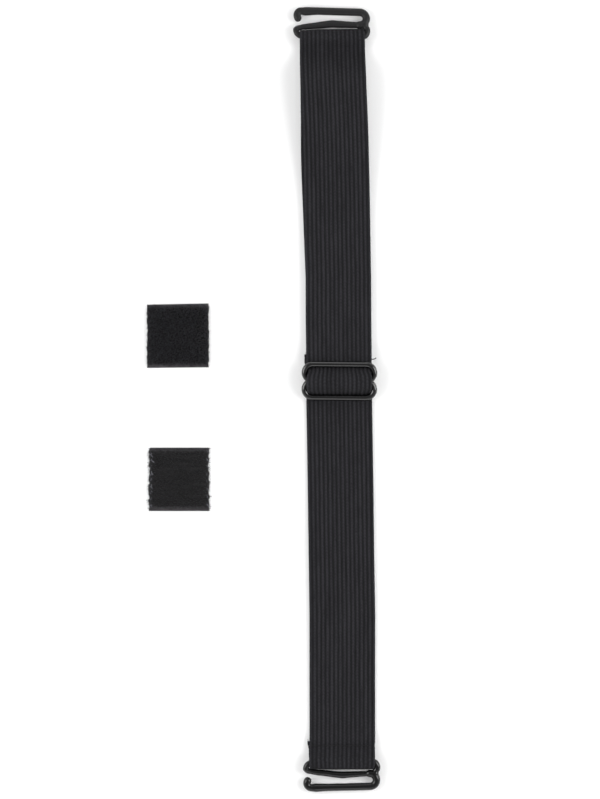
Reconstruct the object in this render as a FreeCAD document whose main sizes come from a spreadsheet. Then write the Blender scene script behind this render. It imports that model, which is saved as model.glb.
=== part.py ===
import FreeCAD, Part
import math
import os
import re

import Sketcher
from FreeCAD import Vector

# An adjustable strap of ribbed elastic webbing: a moulded hook in a sewn loop at one end, a second
# hook in the folded end, and a slider of three bars between them that sets the length. Two loose
# squares of touch fastener, one of pile and one of hooks, belong to the set.
# X runs across the strap, +Y along it from the lower hook to the upper one, and +Z up from the
# table. The origin is on the table, under the middle of the slider.
SIZES = (
    ("web_width", 25.0, "webbing, from selvedge to selvedge"),
    ("web_thick", 1.2, "webbing over the crests of its ribs"),
    ("rib_count", 15, "ribs side by side across the webbing"),
    ("rib_rise", 0.15, "crest of a rib above the groove beside it"),
    ("rubber_dia", 0.5, "rubber thread inside each rib"),
    ("rubber_play", 0.03, "space all round a rubber thread"),
    ("pinch_width", 22.2, "webbing squeezed between the lobes of a hook or the slider"),
    ("layer_gap", 0.05, "space between layers that lie on each other"),
    ("run_gap", 0.5, "space between one length of the webbing and the next"),
    ("wrap_play", 0.35, "space between the slider's centre bar and the webbing sewn round it"),
    ("hook_play", 0.45, "space between a hook's strap bar and the webbing round it"),
    ("hook_seat", 0.15, "strap bar off the middle of its loop, towards the slider"),
    ("bar_dia", 2.3, "bars and lobes of the slider, and the strap bar of a hook"),
    ("coat_thick", 0.25, "nylon coat on the cast metal"),
    ("arm_dia", 2.95, "long outer bar of a hook"),
    ("arm_rise", 9.85, "strap bar to long bar of a hook"),
    ("waist_rise", 4.75, "strap bar to the waist where the two right lobes meet"),
    ("right_lobe", 10.7, "middle of a hook to the right lobe of its long bar"),
    ("lobe_out", 0.55, "right lobe of the strap bar further to the right"),
    ("waist_out", 2.05, "thick end of the middle bar between the two right lobes"),
    ("left_lobe", 11.5, "middle of a hook to its left lobe"),
    ("lobe_ring", 2.5, "bend of the left lobe"),
    ("knee_ring", 1.1, "tighter bend from the left lobe into the middle bar"),
    ("slim_dia", 1.85, "left lobe and left end of the middle bar"),
    ("waist_dia", 2.05, "right end of the middle bar"),
    ("peak_dia", 2.7, "middle bar at its peak"),
    ("peak_shift", 0.2, "peak to the right of the hook's middle"),
    ("peak_rise", 5.1, "strap bar to the peak of the middle bar"),
    ("curl_left", 11.85, "middle of a hook to the centre of its curled tip"),
    ("curl_ring", 1.85, "bend of the curled tip"),
    ("curl_turn", 122.0, "turn of the curled tip in degrees"),
    ("curl_run", 1.3, "length over which the long bar thins to the curled tip"),
    ("tip_dia", 2.5, "curled tip"),
    ("taper_run", 3.0, "length over which the strap bar thins towards the left"),
    ("bar_pitch", 6.5, "one bar of the slider to the next"),
    ("slider_lobe", 10.15, "middle of the slider to its lobes"),
    ("slider_yaw", -0.9, "turn of the slider on the strap in degrees"),
    ("upper_reach", 132.6, "middle of the slider to the middle of the upper hook's loop"),
    ("lower_reach", 146.6, "middle of the slider to the middle of the lower hook's loop"),
    ("upper_lean", 0.87, "lean of the doubled upper part to the left in degrees"),
    ("upper_hook_yaw", -1.4, "turn of the upper hook in its loop in degrees"),
    ("lower_hook_yaw", 0.93, "turn of the lower hook in its loop in degrees"),
    ("lower_hook_left", 0.25, "lower hook off the middle of the strap, to the left"),
    ("hem_reach", 7.9, "middle of a loop to the cut end of the lower hem"),
    ("hem_seam", 6.4, "middle of a loop to the seam of the lower hem"),
    ("loop_cut", 13.4, "middle of a loop to the end of the loop's own length of webbing"),
    ("fold_ring", 2.5, "bend where the top layer comes down beside a hook"),
    ("fold_reach", 5.1, "middle of a loop to that bend"),
    ("slope_ring", 4.0, "bend of the webbing on each side of a step down"),
    ("slope_run", 5.0, "length of a step down"),
    ("tail_reach", 10.4, "centre bar of the slider to the cut end sewn round it"),
    ("tail_seam", 8.9, "centre bar of the slider to its seam"),
    ("rise_ring", 8.0, "bend where the back layer starts up to the centre bar"),
    ("rise_offset", 0.6, "that bend short of the top bar"),
    ("lower_cut", 14.0, "middle of the slider to the end of its webbing below"),
    ("upper_cut", 16.4, "middle of the slider to the end of its webbing above"),
    ("stitch_dia", 0.28, "sewing thread"),
    ("stitch_play", 0.03, "space all round a sewing thread"),
    ("patch_left", 62.0, "middle of the strap to the middle of both squares"),
    ("patch_turn", -0.43, "turn of the squares in degrees"),
    ("patch_back", 0.5, "woven backing of a square"),
    ("pile_width", 23.7, "pile square across"),
    ("pile_length", 24.2, "pile square along the strap"),
    ("pile_deep", 1.7, "pile above its backing"),
    ("pile_up", 18.0, "pile square above the slider's middle"),
    ("hooks_width", 23.1, "hook square across"),
    ("hooks_length", 24.0, "hook square along the strap"),
    ("hooks_deep", 1.5, "hooks above their backing"),
    ("hooks_down", 37.2, "hook square below the slider's middle"),
    ("hook_base", 0.3, "woven base that the hooks stand in"),
    ("hook_rows", 16, "rows of hooks"),
    ("hook_row_wide", 0.7, "one row of hooks across"),
)

doc = FreeCAD.newDocument("StrapSet")
sheet = doc.addObject("Spreadsheet::Sheet", "Sizes")
for row, (alias, value, meaning) in enumerate(SIZES, 1):
    sheet.set("A%d" % row, meaning)
    sheet.set("B%d" % row, str(value))
    sheet.setAlias("B%d" % row, alias)
doc.recompute()

# Formulas that more than one piece uses
TABLE_LAYER = "web_thick / 2"
SECOND_LAYER = "(web_thick * 1.5 + layer_gap)"
THIRD_LAYER = "(web_thick * 2.5 + layer_gap * 2)"
WRAP_RING = "(bar_dia / 2 + wrap_play + web_thick / 2)"
HOOK_RING = "(bar_dia / 2 + hook_play + web_thick / 2)"
HOOK_BAR_Z = "(bar_dia / 2 + hook_play + web_thick)"
LOW_BAR_Z = "(web_thick + layer_gap + bar_dia / 2)"
TOP_BAR_Z = "(web_thick * 3 + layer_gap * 3 + bar_dia / 2)"
MID_BAR_Z = "(web_thick * 2 + layer_gap * 2 + bar_dia / 2)"
SLIDER_TILT = "asin((web_thick + layer_gap) / bar_pitch)"
BAR_Y = "(bar_pitch * cos(asin((web_thick + layer_gap) / bar_pitch)))"
HOOK_TILT = "asin((bar_dia / 2 + hook_play + web_thick - arm_dia / 2) / arm_rise)"


def sized(formula):
    """The formula with each size that it names read from the sheet."""
    return re.sub(r"[a-z]+_[a-z_]+", lambda name: "Sizes." + name.group(), str(formula))


def number(formula):
    value = sheet.evalExpression(str(formula))
    return float(getattr(value, "Value", value))


def put(piece, x="0", y="0", z="0", yaw="0", pitch="0", roll="0"):
    """Ties the piece's placement to the sheet."""
    place = "create(<<vector>>; %s; %s; %s)" % (x, y, z)
    turn = "create(<<rotation>>; %s; %s; %s)" % (yaw, pitch, roll)
    piece.setExpression("Placement", sized("create(<<placement>>; %s; %s)" % (place, turn)))
    return piece


def bound(kind, name, **sizes):
    """A new object of the document with its properties tied to formulas."""
    piece = doc.addObject(kind, name)
    for key, formula in sizes.items():
        piece.setExpression(key, sized(formula))
    return piece


def sketch_on(body, role, name):
    plane = next(part for part in body.Origin.OriginFeatures if part.Role == role)
    sketch = body.newObject("Sketcher::SketchObject", name)
    sketch.AttachmentSupport = [(plane, "")]
    sketch.MapMode = "FlatFace"
    return sketch


def tie(sketch, kind, *places, formula):
    """A dimension of the sketch, set near its value and then tied to the sheet."""
    index = sketch.addConstraint(Sketcher.Constraint(kind, *places, number(formula)))
    sketch.setExpression("Constraints[%d]" % index, sized(formula))


def contacts(start, wheels, end, level):
    """Where a taut side view that starts and ends level touches each of its wheels."""
    heading = 0.0 if number(end if not wheels else wheels[0][0]) > number(start) else math.pi
    circles = [(number(y), number(z), number(ring) * turn) for y, z, ring, turn in wheels]
    points = [Vector(number(start), number(level), 0)]
    headings = [heading]
    for (y1, z1, bend1), (y2, z2, bend2) in zip(circles, circles[1:]):
        apart = math.hypot(y2 - y1, z2 - z1)
        headings.append(math.atan2(z2 - z1, y2 - y1) - math.asin((bend2 - bend1) / apart))
    headings.append(0.0)
    for (y, z, bend), before, after in zip(circles, headings, headings[1:]):
        for angle in (before, after):
            points.append(Vector(y + bend * math.sin(angle), z - bend * math.cos(angle), 0))
    points.append(Vector(number(end), points[-1].y, 0))
    return points, circles


def side_view(body, start, wheels, end, level):
    """The line of the webbing seen from the side: level runs and slopes tangent to round bends.

    Each wheel is the centre, ring and turn of a bend: 1 to the left as it goes, -1 to the right.
    """
    path = sketch_on(body, "YZ_Plane", body.Name + "_side")
    points, circles = contacts(start, wheels, end, level)
    path.addGeometry(Part.LineSegment(points[0], points[1]))
    for index, (y, z, bend) in enumerate(circles):
        arrive, leave = points[2 * index + 1], points[2 * index + 2]
        first, last = (arrive, leave) if bend > 0 else (leave, arrive)
        angles = [math.atan2(point.y - z, point.x - y) for point in (first, last)]
        ring = Part.Circle(Vector(y, z, 0), Vector(0, 0, 1), abs(bend))
        path.addGeometry(Part.ArcOfCircle(ring, angles[0], angles[1]))
        path.addGeometry(Part.LineSegment(leave, points[2 * index + 3]))
    last_line = 2 * len(wheels)
    for index, (y, z, ring, turn) in enumerate(wheels):
        arc = 2 * index + 1
        arrive, leave = (1, 2) if turn > 0 else (2, 1)
        path.addConstraint(Sketcher.Constraint("Tangent", arc - 1, 2, arc, arrive))
        path.addConstraint(Sketcher.Constraint("Tangent", arc, leave, arc + 1, 1))
        tie(path, "DistanceX", -1, 1, arc, 3, formula=y)
        tie(path, "DistanceY", -1, 1, arc, 3, formula=z)
        tie(path, "Radius", arc, formula=ring)
    path.addConstraint(Sketcher.Constraint("Horizontal", 0))
    tie(path, "DistanceX", -1, 1, 0, 1, formula=start)
    if wheels:
        path.addConstraint(Sketcher.Constraint("Horizontal", last_line))
    else:
        tie(path, "DistanceY", -1, 1, 0, 1, formula=level)
    tie(path, "DistanceX", -1, 1, last_line, 2, formula=end)
    return path


def rib_section(sketch, width):
    """One rib cut across: two flat sides, a domed crest above and below, and a bore."""
    pitch = "(%s / rib_count)" % width
    across = number(pitch) / 2
    groove = number("web_thick / 2 - rib_rise")
    crest = number("web_thick / 2")
    right, left = Vector(across, 0, 0), Vector(-across, 0, 0)
    up = Vector(0, groove, 0)
    dome = "((%s / 2) ^ 2 + rib_rise ^ 2) / (2 * rib_rise)" % pitch
    sketch.addGeometry(Part.LineSegment(right - up, right + up))
    sketch.addGeometry(Part.Arc(right + up, Vector(0, crest, 0), left + up))
    sketch.addGeometry(Part.LineSegment(left + up, left - up))
    sketch.addGeometry(Part.Arc(left - up, Vector(0, -crest, 0), right - up))
    for side in range(4):
        sketch.addConstraint(Sketcher.Constraint("Coincident", side, 2, (side + 1) % 4, 1))
    sketch.addConstraint(Sketcher.Constraint("Symmetric", 0, 1, 0, 2, -1))
    sketch.addConstraint(Sketcher.Constraint("Symmetric", 2, 1, 2, 2, -1))
    sketch.addConstraint(Sketcher.Constraint("Symmetric", 0, 2, 2, 1, -2))
    tie(sketch, "DistanceX", 2, 1, 0, 2, formula=pitch)
    tie(sketch, "DistanceY", 0, 1, 0, 2, formula="web_thick - 2 * rib_rise")
    tie(sketch, "Radius", 1, formula=dome)
    tie(sketch, "Radius", 3, formula=dome)
    thread_section(sketch, "rubber_dia + 2 * rubber_play")


def thread_section(sketch, across):
    circle = sketch.addGeometry(Part.Circle(Vector(), Vector(0, 0, 1), number(across) / 2))
    sketch.addConstraint(Sketcher.Constraint("Coincident", circle, 3, -1, 1))
    tie(sketch, "Diameter", circle, formula=across)


def swept_row(name, draw, width, start, wheels, end, level):
    """One rib or thread swept along the side view, and repeated across the width."""
    body = doc.addObject("PartDesign::Body", name)
    path = side_view(body, start, wheels, end, level)
    section = sketch_on(body, "XZ_Plane", name + "_section")
    section.setExpression("AttachmentOffset.Base.x", sized("(%s / rib_count - %s) / 2" % (width, width)))
    section.setExpression("AttachmentOffset.Base.y", sized(level))
    section.setExpression("AttachmentOffset.Base.z", sized("-(%s)" % start))
    draw(section)
    pipe = body.newObject("PartDesign::AdditivePipe", name + "_sweep")
    pipe.Profile = section
    pipe.Spine = (path, ["Edge%d" % edge for edge in range(1, 2 * len(wheels) + 2)])
    pattern = body.newObject("PartDesign::LinearPattern", name + "_across")
    pattern.Originals = [pipe]
    pattern.Direction = (section, ["H_Axis"])
    pattern.setExpression("Length", sized("%s * (rib_count - 1) / rib_count" % width))
    pattern.setExpression("Occurrences", sized("rib_count"))
    body.Tip = pattern
    return body


def webbing(name, width, start, wheels, end, level=TABLE_LAYER, place=None):
    """A length of the webbing as a row of ribs, and the rubber threads that lie in them."""
    ribs = swept_row(name, lambda sketch: rib_section(sketch, width), width, start, wheels, end, level)
    threads = swept_row(
        name + "_threads",
        lambda sketch: thread_section(sketch, "rubber_dia"),
        width,
        start,
        wheels,
        end,
        level,
    )
    for piece in (ribs, threads):
        put(piece, **(place or {}))
    return ribs, threads


def box_lines(sketch, half_width, low, high):
    """A rectangle centred across, from low to high."""
    right = number(half_width)
    heights = [number(low), number(high)]
    corners = [Vector(x, y, 0) for x, y in zip((-right, right, right, -right), (0, 0, 1, 1))]
    corners = [Vector(corner.x, heights[int(corner.y)], 0) for corner in corners]
    first = sketch.GeometryCount
    for side in range(4):
        sketch.addGeometry(Part.LineSegment(corners[side], corners[(side + 1) % 4]))
    for side in range(4):
        following = first + (side + 1) % 4
        sketch.addConstraint(Sketcher.Constraint("Coincident", first + side, 2, following, 1))
    for side, kind in ((1, "Vertical"), (2, "Horizontal"), (3, "Vertical")):
        sketch.addConstraint(Sketcher.Constraint(kind, first + side))
    sketch.addConstraint(Sketcher.Constraint("Symmetric", first, 1, first, 2, -2))
    tie(sketch, "DistanceX", first, 1, first, 2, formula="2 * (%s)" % half_width)
    tie(sketch, "DistanceY", -1, 1, first, 1, formula=low)
    tie(sketch, "DistanceY", first + 1, 1, first + 1, 2, formula="%s - (%s)" % (high, low))


def stitch_row(name, seam, place, play="0"):
    """Lock stitches through two layers: a closed link of thread over each rib, groove to groove."""
    body = doc.addObject("PartDesign::Body", name)
    link = sketch_on(body, "XZ_Plane", name + "_link")
    shift = "(pinch_width / rib_count - pinch_width) / 2"
    link.setExpression("AttachmentOffset.Base.x", sized(shift))
    link.setExpression("AttachmentOffset.Base.z", sized("-(%s)" % seam))
    half = "(pinch_width / rib_count - stitch_play) / 2"
    top = "(web_thick * 2 + layer_gap)"
    box_lines(link, "%s + %s" % (half, play), "-(%s)" % play, "%s + %s" % (top, play))
    wall = "(stitch_dia + %s)" % play
    box_lines(link, "%s - %s" % (half, wall), wall, "%s - %s" % (top, wall))
    pad = body.newObject("PartDesign::Pad", name + "_thread")
    pad.Profile = link
    pad.SideType = "Symmetric"
    pad.setExpression("Length", sized("stitch_dia + 2 * %s" % play))
    pattern = body.newObject("PartDesign::LinearPattern", name + "_across")
    pattern.Originals = [pad]
    pattern.Direction = (link, ["H_Axis"])
    pattern.setExpression("Length", sized("pinch_width * (rib_count - 1) / rib_count"))
    pattern.setExpression("Occurrences", sized("rib_count"))
    body.Tip = pattern
    return put(body, **place)


def sewn(name, seam, start, wheels, end, place):
    """Webbing folded back on itself and stitched, with a hole for each pass of the thread."""
    plain, threads = webbing(name + "_plain", "pinch_width", start, wheels, end, place=place)
    threads.Label = name + "_threads"
    holes = stitch_row(name + "_holes", seam, place, "stitch_play")
    piece = doc.addObject("Part::Cut", name)
    piece.Base = plain
    piece.Tool = holes
    return piece, threads


def bar(name, left, right, y, across):
    piece = bound("Part::Cylinder", name, Radius="(%s) / 2" % across, Height="%s - (%s)" % (right, left))
    return put(piece, x=left, y=y, pitch="90")


def taper(name, x1, y1, across1, x2, y2, across2):
    run = "sqrt((%s - (%s)) ^ 2 + (%s - (%s)) ^ 2)" % (x2, x1, y2, y1)
    slope = "atan2(%s - (%s); %s - (%s))" % (y2, y1, x2, x1)
    ends = {"Radius1": "(%s) / 2" % across1, "Radius2": "(%s) / 2" % across2}
    return put(bound("Part::Cone", name, Height=run, **ends), x=x1, y=y1, yaw=slope, pitch="90")


def lobe(name, x, y, ring, across, begin, turn):
    piece = bound("Part::Torus", name, Radius1=ring, Radius2="(%s) / 2" % across, Angle3=turn)
    return put(piece, x=x, y=y, yaw=begin)


def ball(name, x, y, across):
    return put(bound("Part::Sphere", name, Radius="(%s) / 2" % across), x=x, y=y)


def hook(name, thinner, place):
    """Strap bar, lobes, peaked middle bar, long bar and curled tip, all round in section."""
    bars, arm = "(bar_dia - %s)" % thinner, "(arm_dia - %s)" % thinner
    slim, peak = "(slim_dia - %s)" % thinner, "(peak_dia - %s)" % thinner
    waist = "(waist_dia - %s)" % thinner
    tip = "(tip_dia - %s)" % thinner
    knee_x, knee_y = "(knee_ring - left_lobe - lobe_ring)", "lobe_ring"
    away = "sqrt((peak_shift - %s) ^ 2 + (peak_rise - %s) ^ 2)" % (knee_x, knee_y)
    slope = "(atan2(peak_rise - %s; peak_shift - %s) - asin(knee_ring / %s))" % (knee_y, knee_x, away)
    bend_x = "(%s - knee_ring * sin(%s))" % (knee_x, slope)
    bend_y = "(%s + knee_ring * cos(%s))" % (knee_y, slope)
    curl_y = "(arm_rise - curl_ring)"
    tip_x = "(-curl_left - curl_ring * sin(curl_turn))"
    tip_y = "(%s + curl_ring * cos(curl_turn))" % curl_y
    full_x = "(curl_run - curl_left)"
    strap_lobe, waist_end = "(right_lobe + lobe_out)", "(right_lobe + waist_out)"
    pieces = [
        bar(name + "_strap_bar", "taper_run - left_lobe", strap_lobe, "0", bars),
        taper(name + "_strap_thinning", "-left_lobe", "0", slim, "taper_run - left_lobe", "0", bars),
        lobe(name + "_right_lobe", strap_lobe, "waist_rise / 2", "waist_rise / 2", bars, "-90", "180"),
        lobe(name + "_left_lobe", "-left_lobe", "lobe_ring", "lobe_ring", slim, "180", "90"),
        lobe(name + "_knee", knee_x, knee_y, "knee_ring", slim, "90 deg + " + slope, "90 deg - " + slope),
        taper(name + "_middle_left", bend_x, bend_y, slim, "peak_shift", "peak_rise", peak),
        taper(name + "_middle_right", "right_lobe", "waist_rise", waist, "peak_shift", "peak_rise", peak),
        ball(name + "_peak", "peak_shift", "peak_rise", peak),
        bar(name + "_waist", "right_lobe", waist_end, "waist_rise", waist),
        ball(name + "_waist_start", "right_lobe", "waist_rise", arm),
        ball(name + "_waist_end", waist_end, "waist_rise", arm),
        lobe(
            name + "_arm_lobe",
            "right_lobe",
            "(arm_rise + waist_rise) / 2",
            "(arm_rise - waist_rise) / 2",
            arm,
            "-90",
            "180",
        ),
        bar(name + "_long_bar", full_x, "right_lobe", "arm_rise", arm),
        taper(name + "_thinning", "-curl_left", "arm_rise", tip, full_x, "arm_rise", arm),
        lobe(name + "_curl", "-curl_left", curl_y, "curl_ring", tip, "90", "curl_turn"),
        ball(name + "_tip", tip_x, tip_y, tip),
    ]
    fused = doc.addObject("Part::MultiFuse", name)
    fused.Shapes = pieces
    return put(fused, **place)


def slider(name, thinner, place):
    """Three bars joined at each side by two lobes, like two flat rings that share a bar."""
    across = "(bar_dia - %s)" % thinner
    pieces = []
    for row, y in (("low", "-bar_pitch"), ("centre", "0"), ("top", "bar_pitch")):
        pieces.append(bar("%s_%s_bar" % (name, row), "-slider_lobe", "slider_lobe", y, across))
    for side, x, begin in (("left", "-slider_lobe", "90"), ("right", "slider_lobe", "-90")):
        for row, y in (("low", "-bar_pitch / 2"), ("top", "bar_pitch / 2")):
            title = "%s_%s_%s_lobe" % (name, row, side)
            pieces.append(lobe(title, x, y, "bar_pitch / 2", across, begin, "180"))
    fused = doc.addObject("Part::MultiFuse", name)
    fused.Shapes = pieces
    return put(fused, **place)


def coated(name, draw, place):
    """A metal casting, and the nylon coat dipped over all of it."""
    outside = draw(name + "_outside", "0", place)
    core = draw(name + "_core", "2 * coat_thick", place)
    coat = doc.addObject("Part::Cut", name + "_coat")
    coat.Base = outside
    coat.Tool = core
    return coat, core


def slab(name, width, length, low, deep, place):
    """A flat square of cloth or pile, lying level."""
    body = doc.addObject("PartDesign::Body", name)
    outline = sketch_on(body, "XY_Plane", name + "_outline")
    outline.setExpression("AttachmentOffset.Base.z", sized(low))
    box_lines(outline, "%s / 2" % width, "-(%s) / 2" % length, "%s / 2" % length)
    pad = body.newObject("PartDesign::Pad", name + "_pad")
    pad.Profile = outline
    pad.setExpression("Length", sized(deep))
    put(body, **place)
    return body


nodes = []

# Lower end: the webbing turned under round the hook's bar, hemmed and sewn across
lower_end = {"y": "-lower_reach"}
wrap = ("0", HOOK_BAR_Z, HOOK_RING, -1)
fold = ("fold_reach", SECOND_LAYER + " + fold_ring", "fold_ring", 1)
off_hem = ("hem_reach", SECOND_LAYER + " - slope_ring", "slope_ring", -1)
onto_table = ("hem_reach + slope_run", TABLE_LAYER + " + slope_ring", "slope_ring", 1)
nodes += sewn("lower_loop", "hem_seam", "hem_reach", (wrap, fold, off_hem, onto_table), "loop_cut", lower_end)
nodes.append(stitch_row("lower_stitches", "hem_seam", lower_end))

# Upper end: the webbing folded round the second hook's bar, back layer under front layer
upper_end = {
    "x": "-upper_reach * sin(upper_lean)",
    "y": "upper_reach * cos(upper_lean)",
    "yaw": "180",
}
nodes += webbing("upper_loop", "pinch_width", "loop_cut", (wrap, fold), "loop_cut", place=upper_end)

# Straight lengths between the ends and the slider
nodes += webbing(
    "lower_run", "web_width", "loop_cut + run_gap - lower_reach", (), "-lower_cut - run_gap"
)
leaning = {"yaw": "upper_lean"}
for name, level in (("back_run", TABLE_LAYER), ("front_run", SECOND_LAYER)):
    above, below = "upper_cut + run_gap", "upper_reach - loop_cut - run_gap"
    nodes += webbing(name, "web_width", above, (), below, level, leaning)

# Webbing in the slider: under the low bar, over the centre bar and its sewn end, under the top bar
turned = {"yaw": "slider_yaw"}
under_bar = "((bar_dia + web_thick) / 2 + layer_gap)"
nodes += webbing(
    "slider_crossing",
    "pinch_width",
    "-lower_cut",
    (
        ("-" + BAR_Y, LOW_BAR_Z, under_bar, 1),
        ("0", MID_BAR_Z, WRAP_RING + " + web_thick + layer_gap", -1),
        (BAR_Y, TOP_BAR_Z, under_bar, 1),
        ("tail_reach", THIRD_LAYER + " - slope_ring", "slope_ring", -1),
        ("tail_reach + slope_run", SECOND_LAYER + " + slope_ring", "slope_ring", 1),
    ),
    "upper_cut",
    place=turned,
)

# Sewn end: from the back layer up round the centre bar, and back over itself under the top bar
nodes += sewn(
    "slider_tail",
    "tail_seam",
    "upper_cut",
    (
        (BAR_Y + " - rise_offset", TABLE_LAYER + " + rise_ring", "rise_ring", -1),
        ("0", MID_BAR_Z, WRAP_RING, -1),
        (BAR_Y, TOP_BAR_Z, under_bar + " + web_thick + layer_gap", 1),
    ),
    "tail_reach",
    turned,
)
nodes.append(stitch_row("slider_stitches", "tail_seam", turned))

# Hooks and slider
nodes += coated(
    "upper_hook",
    hook,
    {
        "x": "(hook_seat - upper_reach) * sin(upper_lean)",
        "y": "(upper_reach - hook_seat) * cos(upper_lean)",
        "z": HOOK_BAR_Z,
        "yaw": "upper_hook_yaw",
        "roll": "-" + HOOK_TILT,
    },
)
nodes += coated(
    "lower_hook",
    hook,
    {
        "x": "-lower_hook_left",
        "y": "hook_seat - lower_reach",
        "z": HOOK_BAR_Z,
        "yaw": "lower_hook_yaw",
        "roll": "180 deg + " + HOOK_TILT,
    },
)
nodes += coated("slider", slider, {"z": MID_BAR_Z, "yaw": "slider_yaw", "roll": SLIDER_TILT})

# Squares of touch fastener
pile_at = {"x": "-patch_left", "y": "pile_up", "yaw": "patch_turn"}
nodes.append(slab("pile_square_backing", "pile_width", "pile_length", "0", "patch_back", pile_at))
nodes.append(slab("pile_square_pile", "pile_width", "pile_length", "patch_back", "pile_deep", pile_at))

hooks_at = {"x": "-patch_left", "y": "-hooks_down", "yaw": "patch_turn"}
nodes.append(slab("hook_square_backing", "hooks_width", "hooks_length", "0", "patch_back", hooks_at))
rows = slab("hook_square_hooks", "hooks_width", "hooks_length", "patch_back", "hook_base", hooks_at)
row = sketch_on(rows, "XY_Plane", "hook_row")
row.setExpression("AttachmentOffset.Base.x", sized("(hook_row_wide - hooks_width) / 2"))
row.setExpression("AttachmentOffset.Base.z", sized("patch_back"))
box_lines(row, "hook_row_wide / 2", "-hooks_length / 2", "hooks_length / 2")
tuft = rows.newObject("PartDesign::Pad", "hook_row_pad")
tuft.Profile = row
tuft.setExpression("Length", sized("hooks_deep"))
spread = rows.newObject("PartDesign::LinearPattern", "hook_row_across")
spread.Originals = [tuft]
spread.Direction = (row, ["H_Axis"])
spread.setExpression("Length", sized("hooks_width - hook_row_wide"))
spread.setExpression("Occurrences", sized("hook_rows"))
rows.Tip = spread
nodes.append(rows)

doc.recompute()
for piece in doc.Objects:
    if "Invalid" in piece.State or "Error" in piece.State:
        raise RuntimeError("%s did not build: %s" % (piece.Name, piece.State))
os.makedirs("parts", exist_ok=True)
for piece in nodes:
    if piece.Shape.isNull() or not piece.Shape.isValid():
        raise RuntimeError("%s has no sound shape" % piece.Label)
    piece.Shape.exportStep("parts/%s.step" % piece.Label)
    print("%-26s %3d solids %9.2f mm3" % (piece.Label, len(piece.Shape.Solids), piece.Shape.Volume))
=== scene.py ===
import math

import bmesh
import bpy
import numpy as np
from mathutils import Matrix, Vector


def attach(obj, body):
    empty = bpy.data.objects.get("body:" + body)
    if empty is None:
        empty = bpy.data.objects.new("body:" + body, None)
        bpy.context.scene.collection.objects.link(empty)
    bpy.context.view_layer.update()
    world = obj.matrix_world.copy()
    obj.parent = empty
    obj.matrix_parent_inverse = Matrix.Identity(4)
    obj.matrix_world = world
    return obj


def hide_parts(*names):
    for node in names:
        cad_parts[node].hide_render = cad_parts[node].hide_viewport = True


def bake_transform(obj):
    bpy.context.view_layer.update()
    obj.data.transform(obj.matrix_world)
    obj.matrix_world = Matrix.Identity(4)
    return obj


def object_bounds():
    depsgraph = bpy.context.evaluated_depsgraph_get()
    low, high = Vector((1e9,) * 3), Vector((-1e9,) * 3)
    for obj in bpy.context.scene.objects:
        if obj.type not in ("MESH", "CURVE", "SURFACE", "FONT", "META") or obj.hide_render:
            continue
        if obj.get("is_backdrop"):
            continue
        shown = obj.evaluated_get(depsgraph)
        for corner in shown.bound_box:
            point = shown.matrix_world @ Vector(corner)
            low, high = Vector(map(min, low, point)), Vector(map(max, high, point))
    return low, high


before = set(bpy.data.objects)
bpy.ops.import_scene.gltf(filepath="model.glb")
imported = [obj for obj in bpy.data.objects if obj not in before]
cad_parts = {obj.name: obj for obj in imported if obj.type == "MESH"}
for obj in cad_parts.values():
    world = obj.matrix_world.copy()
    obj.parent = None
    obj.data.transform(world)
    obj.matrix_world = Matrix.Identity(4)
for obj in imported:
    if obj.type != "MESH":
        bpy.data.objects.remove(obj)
cad_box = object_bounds()
MM = 0.001


# The table is a white sweep under broad soft lamps at both sides, with a dim ceiling over
# the camera, so that round black wire shows a dark top and bright edges. The camera looks
# straight down through a long lens, a little turned against the strap.
VIEW_HEIGHT = 1.7
VIEW_PLANE = 0.002
VIEW_LENGTH = 799 / 2.6 * MM
VIEW_CENTRE = (-15.18 * MM, -6.99 * MM)
VIEW_TURN = math.radians(-0.43)
SENSOR = 36.0
TABLE_WHITE = (0.8, 0.8, 0.8, 1)
TABLE_LIFT = 0.155
TABLE_REACH = 6.0
TABLE_GAP = 0.05 * MM
CEILING_DIM = 0.7
LAMPS = (  # name, bearing, height above the horizon, distance, width, watts
    ("right_lamp", 0, 36, 0.9, 0.55, 5.8),
    ("left_lamp", 180, 36, 0.9, 0.55, 4.7),
    ("far_lamp", 90, 34, 0.9, 0.4, 0.75),
    ("near_lamp", 270, 34, 0.9, 0.4, 0.75),
)


class Link:
    """One output of a node. A sum on it adds Math nodes, and link["Name"] is another output."""

    def __init__(self, nodes, socket):
        self.nodes = nodes
        self.socket = socket

    def __getitem__(self, name):
        return Link(self.nodes, self.socket.node.outputs[name])

    def __add__(self, other):
        return self.nodes.sum("ADD", self, other)

    def __sub__(self, other):
        return self.nodes.sum("SUBTRACT", self, other)

    def __rsub__(self, other):
        return self.nodes.sum("SUBTRACT", other, self)

    def __mul__(self, other):
        return self.nodes.sum("MULTIPLY", self, other)

    def __truediv__(self, other):
        return self.nodes.sum("DIVIDE", self, other)

    def __pow__(self, other):
        return self.nodes.sum("POWER", self, other)

    def __neg__(self):
        return 0 - self

    __radd__ = __add__
    __rmul__ = __mul__


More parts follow.
